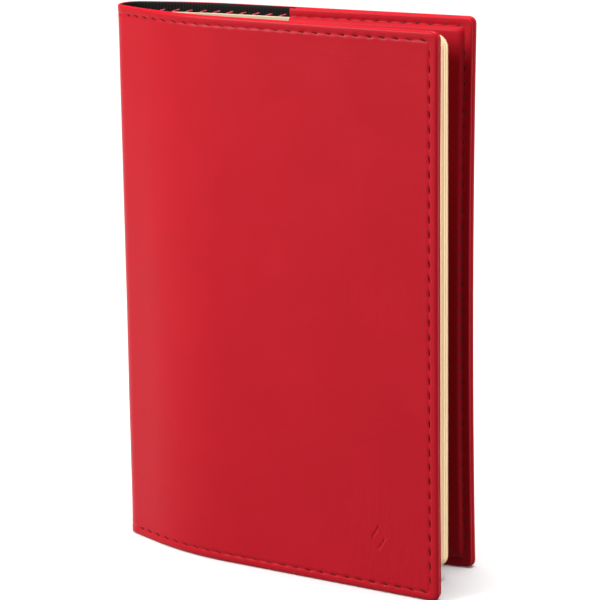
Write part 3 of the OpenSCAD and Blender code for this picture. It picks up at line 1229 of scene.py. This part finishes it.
# --------------------------------------------------------------------------------------------------- pieces
@dataclass
class Cover:
    """One half of the slip cover: its leather, lining and pocket flap, from the spine to the fore-edge.

    edge_step and lining_step are how far the flap and the lining lie in from the edge, step and loose_step
    the spacing of their points, turn_w half the width over which a piece bends at a fold, draw how far the
    fore-edge draws in at half height, and mark the middle of the pressed lozenge.
    """

    side: Side
    layout: Layout
    finishes: Finishes
    recipe: Recipe
    corner: float = 2.0 * MM
    flap_w: float = 56.0 * MM
    hem_w: float = 3.2 * MM
    edge_step: float = 0.3 * MM
    lining_step: float = 0.08 * MM
    card_inset: float = 2.8 * MM
    fore_square: float = 7.0 * MM
    page_corner: float = 3.5 * MM
    step: float = 0.8 * MM
    loose_step: float = 1.6 * MM
    turn_w: float = 3.5 * MM
    draw: float = 0.0
    padding: float = 0.07 * MM
    wave: float = 0.05 * MM
    flap_wave: float = 0.06 * MM
    mark: tuple[float, float] | None = None
    mark_l: float = 7.0 * MM
    mark_slim: float = 0.62
    mark_line: float = 0.26 * MM
    mark_sink: float = 0.05 * MM

    @property
    def profile(self) -> Profile:
        """Plan line of this half."""
        return self.layout.profiles[self.side]

    @property
    def split(self) -> float:
        """Distance at which the cover's piece meets the spine's piece, half way along the joint."""
        return self.profile.fold + self.profile.joint / 2

    def bow(self) -> Bow:
        """How this half's fore-edge draws in."""
        return Bow(self.draw, self.profile.panel, self.profile.length, self.layout.height)

    def keep(self, piece: bpy.types.Object, over: str) -> None:
        """Bakes a piece's transform and lets it bend over one fold.

        Args:
            piece: The piece.
            over: "cover" for the fold between joint and cover, "spine" for the one between spine and joint.
        """
        p, half = self.profile, self.turn_w
        at = p.edge if over == "cover" else p.fold
        bodies = (f"{self.side.value}_joint", f"{self.side.value}_cover")
        if over == "spine":
            bodies = ("spine", f"{self.side.value}_joint")
        middle = p.point(at, 0.0, 0.0)
        slope = p.heading(np.array([at]))[0]
        along = Vector((math.cos(slope), math.sin(slope) * p.mirror, 0.0))
        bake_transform(piece, *bodies, start=middle - along * half, end=middle + along * half)
        LOG.info("%s: %d faces", piece.name, len(piece.data.polygons))

    def hem(self, s: np.ndarray) -> np.ndarray:
        """Thickness of the leather's turned edge along the profile."""
        layers = self.layout.layers
        return layers.leather + (layers.hem - layers.leather) * ease((s - self.profile.edge) / (5 * MM))

    def groove(self, s: np.ndarray, z: np.ndarray, e: np.ndarray, inset: float) -> np.ndarray:
        """Depth that the stitching draws into a face.

        Args:
            s: Distances along the profile.
            z: Heights.
            e: Distances from the free edge.
            inset: Distance of the stitching from that edge.

        Returns:
            One depth for each point.
        """
        seam = self.layout.seam
        near_fore = self.profile.length - s < np.minimum(z, self.layout.height - z)
        row = self.profile.length - seam.inset - s
        column = z - self.layout.height / 2 + (self.column_count() - 1) / 2 * seam.pitch
        phase = np.where(near_fore, column, row - seam.pitch / 2) / seam.pitch
        pull = 0.62 + 0.38 * np.cos(2 * math.pi * phase)
        return seam.groove * pull * np.exp(-(((e - inset) / seam.groove_w) ** 2))

    def column_count(self) -> int:
        """Stitches along the fore-edge."""
        seam = self.layout.seam
        return int((self.layout.height - 2 * seam.inset) / seam.pitch)

    def face(self, grid: Grid, thickness: np.ndarray) -> np.ndarray:
        """Depth of the outer face: a rounded rim, a soft border, the stitching's groove and slow waves.

        Args:
            grid: The points.
            thickness: Thickness of the rim at each point.

        Returns:
            One depth for each point.
        """
        s, z, e = grid.s, grid.z, grid.e
        seam = self.layout.seam
        depth = rounded(e, thickness / 2) + self.groove(s, z, e, seam.inset)
        inside = e - seam.inset
        depth += self.padding * ease(inside / (1.6 * MM))
        depth += self.wave * (1 + swell(s, z, 1.7 + self.profile.mirror)) * ease(inside / (9 * MM))
        return depth + self.pressed(s, z)

    def pressed(self, s: np.ndarray, z: np.ndarray) -> np.ndarray:
        """Depth of the lozenge pressed into the face.

        Args:
            s: Distances along the profile.
            z: Heights.

        Returns:
            One depth for each point.
        """
        if self.mark is None:
            return np.zeros_like(s)
        half = self.mark_l / 2
        size = np.abs(s - self.mark[0]) / self.mark_slim + np.abs(z - self.mark[1])
        line = np.exp(-(((size - half * 0.9) / (0.34 * MM)) ** 2))
        return self.mark_line * line + self.mark_sink * (1 - ease((size - half) / (0.8 * MM)))

    def skin(self) -> None:
        """Leather of the cover, from half way along the joint."""
        p, lay = self.profile, self.layout
        fine_s, fine_z = [], []
        if self.mark is not None:
            s, z = self.mark
            reach, near = self.mark_l * 0.62, 0.24 * MM
            fine_s = [(s - reach * 0.75, s + reach * 0.75, near)]
            fine_z = [(z - reach, z + reach, near)]
        columns = spread(self.split, p.length - RIM_W, self.step, fine_s)
        rows = spread(RIM_W, lay.height - RIM_W, self.step, fine_z)
        grid = plate_grid(self.split, p.length, 0.0, lay.height, self.corner, columns, rows)
        hem = self.hem(grid.s)
        outer = self.face(grid, hem)
        inner = np.where(grid.e < self.hem_w, hem, lay.layers.leather)
        inner = inner - rounded(grid.e, hem / 2)
        name = f"{self.side.value}_cover_skin"
        piece = shell(name, p, grid, outer, inner, self.finishes.leather, self.bow())
        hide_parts(f"{self.side.value}_cover_leather", f"{self.side.value}_joint_leather")
        self.keep(piece, "cover")

    def spine_skin(self) -> None:
        """Leather of the spine's half, up to half way along the joint."""
        p, lay = self.profile, self.layout
        grid = strip_grid(0.0, self.split, 0.0, lay.height, self.step)
        thickness = np.full_like(grid.s, lay.layers.leather)
        inner = thickness - rounded(grid.e, thickness / 2)
        name = f"{self.side.value}_spine_skin"
        piece = shell(name, p, grid, self.face(grid, thickness), inner, self.finishes.leather)
        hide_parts("spine_leather")
        self.keep(piece, "spine")

    def lining(self) -> None:
        """Woven lining on the cover and on the spine."""
        p, lay = self.profile, self.layout
        low, high = self.lining_step, lay.height - self.lining_step
        end = p.length - self.lining_step
        columns = spread(self.split, end - RIM_W, self.loose_step)
        rows = spread(low + RIM_W, high - RIM_W, 3 * MM)
        plates = {
            "cover": plate_grid(self.split, end, low, high, self.corner, columns, rows),
            "spine": strip_grid(0.0, self.split, low, high, 1.2 * MM),
        }
        for over, grid in plates.items():
            hem = self.hem(grid.s)
            start = hem - rounded(grid.e + self.lining_step, hem / 2)
            under = ease((grid.s - p.length + self.flap_w - 0.5 * MM) / (1.2 * MM))
            start = start - 0.5 * MM * under * (1 - ease((grid.e - 1.4 * MM) / (1.2 * MM)))
            pull = 0.4 * self.groove(grid.s, grid.z, grid.e, lay.seam.inset - self.lining_step)
            inner = start + lay.layers.lining - rounded(grid.e, 0.12 * MM) - pull
            name = f"{self.side.value}_{over}_lining"
            bow = self.bow() if over == "cover" else None
            piece = shell(name, p, grid, start + 0.01 * MM, inner, self.finishes.lining, bow)
            nodes = [f"{self.side.value}_lining", f"{self.side.value}_joint_lining"]
            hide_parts(*(nodes if over == "cover" else ["spine_lining"]))
            self.keep(piece, over)
            width = end - self.split if over == "cover" else self.split
            high - low

    def flap(self) -> None:
        """Pocket flap with its sewn rim and its free edge towards the spine."""
        p, lay = self.profile, self.layout
        low, high, end = self.edge_step, lay.height - self.edge_step, p.length - self.edge_step
        start = p.length - self.flap_w
        lip = [(start, start + 1.2 * MM, 0.15 * MM)]
        columns = spread(start, end - RIM_W, self.step, lip)
        rows = spread(low + RIM_W, high - RIM_W, self.step)
        grid = plate_grid(start, end, low, high, self.corner, columns, rows)
        layers = lay.layers
        sewn = lay.seam.inset - self.edge_step
        bed, rim_t = layers.rim_in, layers.rim_t
        border = 1 - ease((grid.e - sewn) / (1.4 * MM))
        near = bed * border + layers.flap_in * (1 - border)
        far = (bed + rim_t) * border + layers.inner_face * (1 - border)
        lip_fall = rounded(grid.s - start, layers.flap / 2) * 0.9
        near = near + rounded(grid.e, rim_t / 2) + lip_fall * (1 - border)
        wave = self.flap_wave * swell(grid.s, grid.z, 4.1) * (1 - border)
        far = far - rounded(grid.e, rim_t / 2) - lip_fall + wave
        far = far - self.groove(grid.s, grid.z, grid.e, sewn)
        name = f"{self.side.value}_flap_skin"
        piece = shell(name, p, grid, near, far, self.finishes.flap, self.bow())
        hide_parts(f"{self.side.value}_pocket_flap")
        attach(piece, f"{self.side.value}_cover")
        LOG.info("%s: %d faces", piece.name, len(piece.data.polygons))

    def card(self) -> None:
        """Card cover of the refill, in this half's pocket and round the spine."""
        p, lay = self.profile, self.layout
        low, high = self.card_inset, lay.height - self.card_inset
        end = p.length - self.fore_square
        columns = spread(self.split, end - RIM_W, self.loose_step)
        rows = spread(low + RIM_W, high - RIM_W, 6 * MM)
        plates = {
            "cover": plate_grid(self.split, end, low, high, self.page_corner, columns, rows),
            "spine": strip_grid(0.0, self.split, low, high, 1.2 * MM),
        }
        for over, grid in plates.items():
            start = self.hem(grid.s) + lay.layers.lining + lay.layers.slack
            inner = start + lay.layers.card - rounded(grid.e, 0.1 * MM)
            outer = start + rounded(grid.e, 0.1 * MM)
            piece = shell(f"{self.side.value}_{over}_card", p, grid, outer, inner, self.finishes.card)
            node = f"refill_{self.side.value}_card" if over == "cover" else "refill_spine_card"
            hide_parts(node)
            self.keep(piece, over)

    def rows(self, over: str) -> tuple[float, float]:
        """First and last stitch of this half's rows on one piece.

        Args:
            over: "cover" or "spine".

        Returns:
            Their distances along the profile.
        """
        seam = self.layout.seam
        first = self.profile.length - seam.inset - seam.pitch / 2
        low, high = (self.split, first) if over == "cover" else (seam.pitch / 4, self.split)
        count = int((first - low) / seam.pitch)
        skipped = math.ceil((first - high) / seam.pitch - 1e-6)
        return first - count * seam.pitch, first - max(0, skipped) * seam.pitch

    def sew(
        self,
        name: str,
        over: str,
        depth: Depth,
        slants: tuple[float, float],
        material: bpy.types.Material,
        **sizes: float,
    ) -> bpy.types.Object:
        """Sews a row at head and tail, and on the cover a column at the fore-edge.

        Args:
            name: The piece's name.
            over: "cover" or "spine".
            depth: Depth of the stitches from distances, heights and distances from the edge.
            slants: Turn of the stitches in the rows and in the column, in radians.
            material: The thread's finish.
            sizes: Sizes of the stitches.

        Returns:
            The piece.
        """
        p, lay, seam = self.profile, self.layout, self.layout.seam
        on_panel = depth(np.array([p.panel]), np.array([0.0]), np.array([0.0]))[0]
        outside = -1.0 if on_panel > MM else 1.0
        low, high = self.rows(over)
        points, links, outward, turns = [], [], [], []
        tracks = []
        if high > low:
            count = round((high - low) / seam.pitch)
            places = np.linspace(low, high + 0.0005 * seam.pitch, 8 * count + 1)
            for z in (seam.inset, lay.height - seam.inset):
                tracks.append((places, np.full_like(places, z), slants[0]))
        if over == "cover":
            count = self.column_count()
            run = (count - 1) / 2 * seam.pitch
            heights = np.linspace(-run, run + 0.0005 * seam.pitch, 8 * (count - 1) + 1) + lay.height / 2
            tracks.append((np.full_like(heights, p.length - seam.inset), heights, slants[1]))
        for s, z, slant in tracks:
            first = len(points)
            moved = self.bow().shift(s, z) if over == "cover" else s
            plan = p.at(moved, depth(s, z, np.full_like(s, seam.inset)))
            points += [(x, y, h) for (x, y), h in zip(plan, z)]
            outward += [(-outside * n[0], -outside * n[1], 0.0) for n in p.inward(moved)]
            turns += [slant * outside * p.mirror] * len(s)
            links += [(k, k + 1) for k in range(first, len(points) - 1)]
        mesh = bpy.data.meshes.new(f"{name}_line")
        mesh.from_pydata(points, links, [])
        layer = mesh.attributes.new("outward", "FLOAT_VECTOR", "POINT")
        layer.data.foreach_set("vector", np.array(outward, np.float32).ravel())
        mesh.attributes.new("slant", "FLOAT", "POINT").data.foreach_set("value", np.array(turns, np.float32))
        piece = self.recipe.run(name, mesh, material, **sizes)
        self.keep(piece, over)
        return piece

    def stitches(self) -> None:
        """Stitches outside, on the lining and on the flap's rim."""
        seam, layers, side = self.layout.seam, self.layout.layers, self.side.value
        flap_start = self.profile.length - self.flap_w
        on_flap = layers.rim_in + layers.rim_t - seam.groove * 0.9
        spine = {"Length": seam.spine_length, "Width": seam.width, "Sag": seam.spine_sag}
        cover = {"Length": seam.length, "Width": seam.width, "Sag": seam.sag}
        inner = {"Length": seam.inner_length, "Sag": seam.inner_sag}

        def outside(s: np.ndarray, z: np.ndarray, e: np.ndarray) -> np.ndarray:
            """Depth of the thread in the outer groove."""
            return np.full_like(s, seam.groove * 0.95)

        def inside(s: np.ndarray, z: np.ndarray, e: np.ndarray) -> np.ndarray:
            """Depth of the thread on the lining, and on the flap from its free edge on."""
            on_lining = self.hem(s) + layers.lining + 0.02 * MM
            return np.where(s < flap_start, on_lining, on_flap)

        for over, outer in (("spine", spine), ("cover", cover)):
            name = f"{side}_{over}_stitches"
            piece = self.sew(name, over, outside, seam.slants, self.finishes.seam, **outer)
            nodes = [f"{side}_cover_stitching", f"{side}_joint_stitching"]
            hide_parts(*(nodes if over == "cover" else ["spine_stitching"]))
            name = f"{side}_{over}_inner_stitches"
            self.sew(name, over, inside, seam.inner_slants, self.finishes.inner_seam, **inner)

    def build(self) -> None:
        """Builds this half of the cover."""
        self.skin()
        self.spine_skin()
        self.lining()
        self.flap()
        self.card()
        self.stitches()


@dataclass
class Refill:
    """The page sections: folded leaves on a common binding."""

    layout: Layout
    finishes: Finishes
    sections: int = 8
    leaves: int = 12
    leaf_t: float = 0.1 * MM
    corner: float = 3.5 * MM
    jitter: float = 0.16 * MM

    def leaf(self, low: Vector, high: Vector) -> bpy.types.Mesh:
        """One leaf, lying in the XZ plane with round corners at the fore-edge.

        Args:
            low: Lowest corner of the section.
            high: Highest corner of the section.

        Returns:
            The leaf's mesh.
        """
        r = self.corner
        spine = low.x + 0.3 * MM
        columns = list(np.linspace(spine, high.x - r, 5))
        columns += [high.x - r * (1 - math.sin(a)) for a in np.radians((20, 38, 54, 68, 80, 90))]
        points, faces = [], []
        for x in columns:
            a = max(0.0, x - (high.x - r))
            cut = r - math.sqrt(max(r * r - a * a, 0.0))
            for z in (low.z + cut, high.z - cut):
                points += [(x, -self.leaf_t / 2, z), (x, self.leaf_t / 2, z)]
        for k in range(len(columns) - 1):
            a, b = 4 * k, 4 * k + 4
            faces += [(a, b, b + 2, a + 2), (a + 1, a + 3, b + 3, b + 1)]
            faces += [(a, a + 1, b + 1, b), (a + 2, b + 2, b + 3, a + 3)]
        end = 4 * (len(columns) - 1)
        faces += [(0, 2, 3, 1), (end, end + 1, end + 3, end + 2)]
        mesh = bpy.data.meshes.new("leaf")
        mesh.from_pydata(points, [], faces)
        return mesh

    def fold(self, name: str, low: Vector, high: Vector, y_low: float, y_high: float) -> bpy.types.Mesh:
        """Rounded fold at the spine edge of a section.

        Args:
            name: The mesh's name.
            low: Lowest corner of the section.
            high: Highest corner of the section.
            y_low: Front face of the section at its spine edge.
            y_high: Back face of the section at its spine edge.

        Returns:
            The fold's mesh.
        """
        r = (y_high - y_low) / 2
        middle = (y_high + y_low) / 2
        arc = [math.pi / 2 + math.pi * k / 14 for k in range(15)]
        plan = [(low.x + r * 0.8 + r * 0.8 * math.cos(a), middle + r * math.sin(a)) for a in arc]
        plan += [(low.x + r * 1.5, y_low), (low.x + r * 1.5, y_high)]
        points = [(x, y, z) for z in (low.z, high.z) for x, y in plan]
        n = len(plan)
        faces = [tuple(range(n)), tuple(range(2 * n - 1, n - 1, -1))]
        faces += [(k, (k + 1) % n, n + (k + 1) % n, n + k) for k in range(n)]
        mesh = bpy.data.meshes.new(name)
        mesh.from_pydata(points, [], faces)
        return mesh

    def build(self) -> bpy.types.Collection:
        """Builds the sections.

        Returns:
            A collection that holds them.
        """
        recipe = leaf_recipe()
        pages = bpy.data.collections.new("pages")
        for k in range(1, self.sections + 1):
            node = f"section_{k}"
            low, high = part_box(node)
            (s_low, s_high), (f_low, f_high) = self.faces_at(node)
            stack = {
                "Leaves": self.leaves,
                "Spine_X": low.x,
                "Fore_X": high.x,
                "Spine_Y": s_low,
                "Spine_Pitch": (s_high - s_low) / self.leaves,
                "Fore_Y": f_low,
                "Fore_Pitch": (f_high - f_low) / self.leaves,
                "Jitter": self.jitter,
                "Seed": k,
            }
            piece = recipe.run(f"{node}_leaves", self.leaf(low, high), self.finishes.pages, **stack)
            for polygon in piece.data.polygons:
                polygon.use_smooth = False
            name = f"{node}_fold"
            fold = finished(name, self.fold(name, low, high, s_low, s_high), self.finishes.pages)
            for polygon in fold.data.polygons:
                polygon.use_smooth = len(polygon.vertices) == 4
            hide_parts(node)
            for part in (piece, fold):
                part.visible_diffuse = False
                pages.objects.link(part)
                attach(part, node)
            LOG.info("%s: %d faces", piece.name, len(piece.data.polygons))
        return pages

    @staticmethod
    def faces_at(node: str) -> tuple[tuple[float, float], tuple[float, float]]:
        """Front and back face of a section at its spine edge and at its fore-edge.

        Args:
            node: The section's node.

        Returns:
            Lowest and highest y at the spine edge, then at the fore-edge.
        """
        low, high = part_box(node)
        points = np.array([v.co for v in bpy.data.objects[node].data.vertices])
        found = []
        for x in (low.x, high.x):
            y = points[np.abs(points[:, 0] - x) < 0.05 * MM][:, 1]
            found.append((float(y.min()), float(y.max())))
        return found[0], found[1]


@dataclass(frozen=True)
class Studio:
    """Floor, lights and camera. One soft box lights the pages alone."""

    pages: bpy.types.Collection
    aim: Vector = Vector((0.0, 0.0, 0.08))
    fill: float = 0.1
    eye: Vector = Vector((0.39473, -0.62946, 0.25177))
    heading: float = math.radians(31.964)
    pitch: float = math.radians(13.385)
    roll: float = math.radians(-0.741)
    lens: float = 163.2

    def camera(self) -> None:
        """Makes the camera."""
        data = bpy.data.cameras.new("camera")
        data.lens, data.sensor_width = self.lens, 36.0
        data.clip_start, data.clip_end = 0.01, 20.0
        level = math.cos(self.pitch)
        forward = Vector(
            (-math.sin(self.heading) * level, math.cos(self.heading) * level, -math.sin(self.pitch))
        )
        right = Vector((math.cos(self.heading), math.sin(self.heading), 0.0))
        up = right.cross(forward)
        c, s = math.cos(self.roll), math.sin(self.roll)
        right, up = right * c + up * s, up * c - right * s
        turn = Matrix((right, up, -forward)).transposed()
        holder = bpy.data.objects.new("camera", data)
        holder.matrix_world = Matrix.Translation(self.eye) @ turn.to_4x4()
        bpy.context.scene.collection.objects.link(holder)
        bpy.context.scene.camera = holder

    @staticmethod
    def lamp(
        name: str, place: Vector, aim: Vector, size: tuple[float, float], power: float
    ) -> bpy.types.Object:
        """Adds a soft box.

        Args:
            name: Its name.
            place: Where it hangs.
            aim: What it points at.
            size: Its width and height.
            power: Its power in watts.

        Returns:
            The lamp.
        """
        data = bpy.data.lights.new(name, "AREA")
        data.shape, data.size, data.size_y = "RECTANGLE", *size
        data.energy = power
        lamp = bpy.data.objects.new(name, data)
        lamp.location = place
        lamp.rotation_euler = (aim - place).to_track_quat("-Z", "Y").to_euler()
        bpy.context.scene.collection.objects.link(lamp)
        return lamp

    @staticmethod
    def overhead() -> None:
        """Adds even light from above."""
        data = bpy.data.lights.new("overhead", "SUN")
        data.energy, data.angle = 3.5, math.radians(28.0)
        bpy.context.scene.collection.objects.link(bpy.data.objects.new("overhead", data))

    def floor(self, material: bpy.types.Material) -> None:
        """Adds the floor.

        Args:
            material: Its finish.
        """
        work = bmesh.new()
        bmesh.ops.create_grid(work, x_segments=8, y_segments=8, size=3.0)
        mesh = bpy.data.meshes.new("floor")
        work.to_mesh(mesh)
        work.free()
        mesh.materials.append(material)
        ground = bpy.data.objects.new("floor", mesh)
        ground.visible_diffuse = False
        bpy.context.scene.collection.objects.link(ground)

    def build(self, material: bpy.types.Material) -> None:
        """Builds the studio.

        Args:
            material: The floor's finish.
        """
        self.camera()
        self.floor(material)
        self.lamp("key", Vector((-0.36, -0.52, 0.38)), self.aim, (0.36, 0.36), 4.3)
        self.lamp("side", Vector((1.0, 0.3, 0.32)), self.aim, (0.45, 0.6), 4.5)
        glow = self.lamp("page_glow", Vector((1.0, 0.05, 0.3)), self.aim, (0.45, 0.6), 14.0)
        glow.light_linking.receiver_collection = self.pages
        self.overhead()
        self.sky()
        bpy.context.scene.view_settings.view_transform = "Standard"
        bpy.context.scene.view_settings.look = "None"

    def sky(self) -> None:
        """Makes a white backdrop that lights the notebook only faintly."""
        world = bpy.data.worlds.new("studio")
        world.use_nodes = True
        tree = world.node_tree
        backdrop = tree.nodes["Background"]
        backdrop.inputs[0].default_value = (1.0, 1.0, 1.0, 1.0)
        seen = tree.nodes.new("ShaderNodeLightPath").outputs["Is Camera Ray"]
        level = tree.nodes.new("ShaderNodeMapRange")
        level.inputs["To Min"].default_value = self.fill
        level.inputs["To Max"].default_value = 1.0
        tree.links.new(seen, level.inputs["Value"])
        tree.links.new(level.outputs["Result"], backdrop.inputs[1])
        bpy.context.scene.world = world


def dress_cores(frame: dict, finishes: Finishes) -> None:
    """Gives the CAD pieces that stay their finishes.

    Args:
        finishes: The finishes.
    """
    dressed = {
        "binding_core": finishes.glue,
        "front_stiffener": finishes.board,
        "back_stiffener": finishes.board,
    }
    for node, material in dressed.items():
        data = frame["nodes"][node].data
        data.materials.clear()
        data.materials.append(material)
        LOG.info("%s keeps its CAD shape", node)


def main() -> None:
    """Builds the notebook and its studio."""
    logging.basicConfig(level=logging.INFO, format="%(name)s: %(message)s")
    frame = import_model()
    layout = Layout.read(frame)
    finishes = Finishes()
    recipe = stitch_recipe()
    front = layout.profiles[Side.FRONT]
    mark = (front.length - 18.5 * MM, 15.5 * MM)
    Cover(Side.FRONT, layout, finishes, recipe, draw=0.25 * MM, mark=mark).build()
    Cover(Side.BACK, layout, finishes, recipe, draw=0.8 * MM).build()
    pages = Refill(layout, finishes).build()
    dress_cores(frame, finishes)
    Studio(pages).build(finishes.ground)


if __name__ == "__main__":
    main()
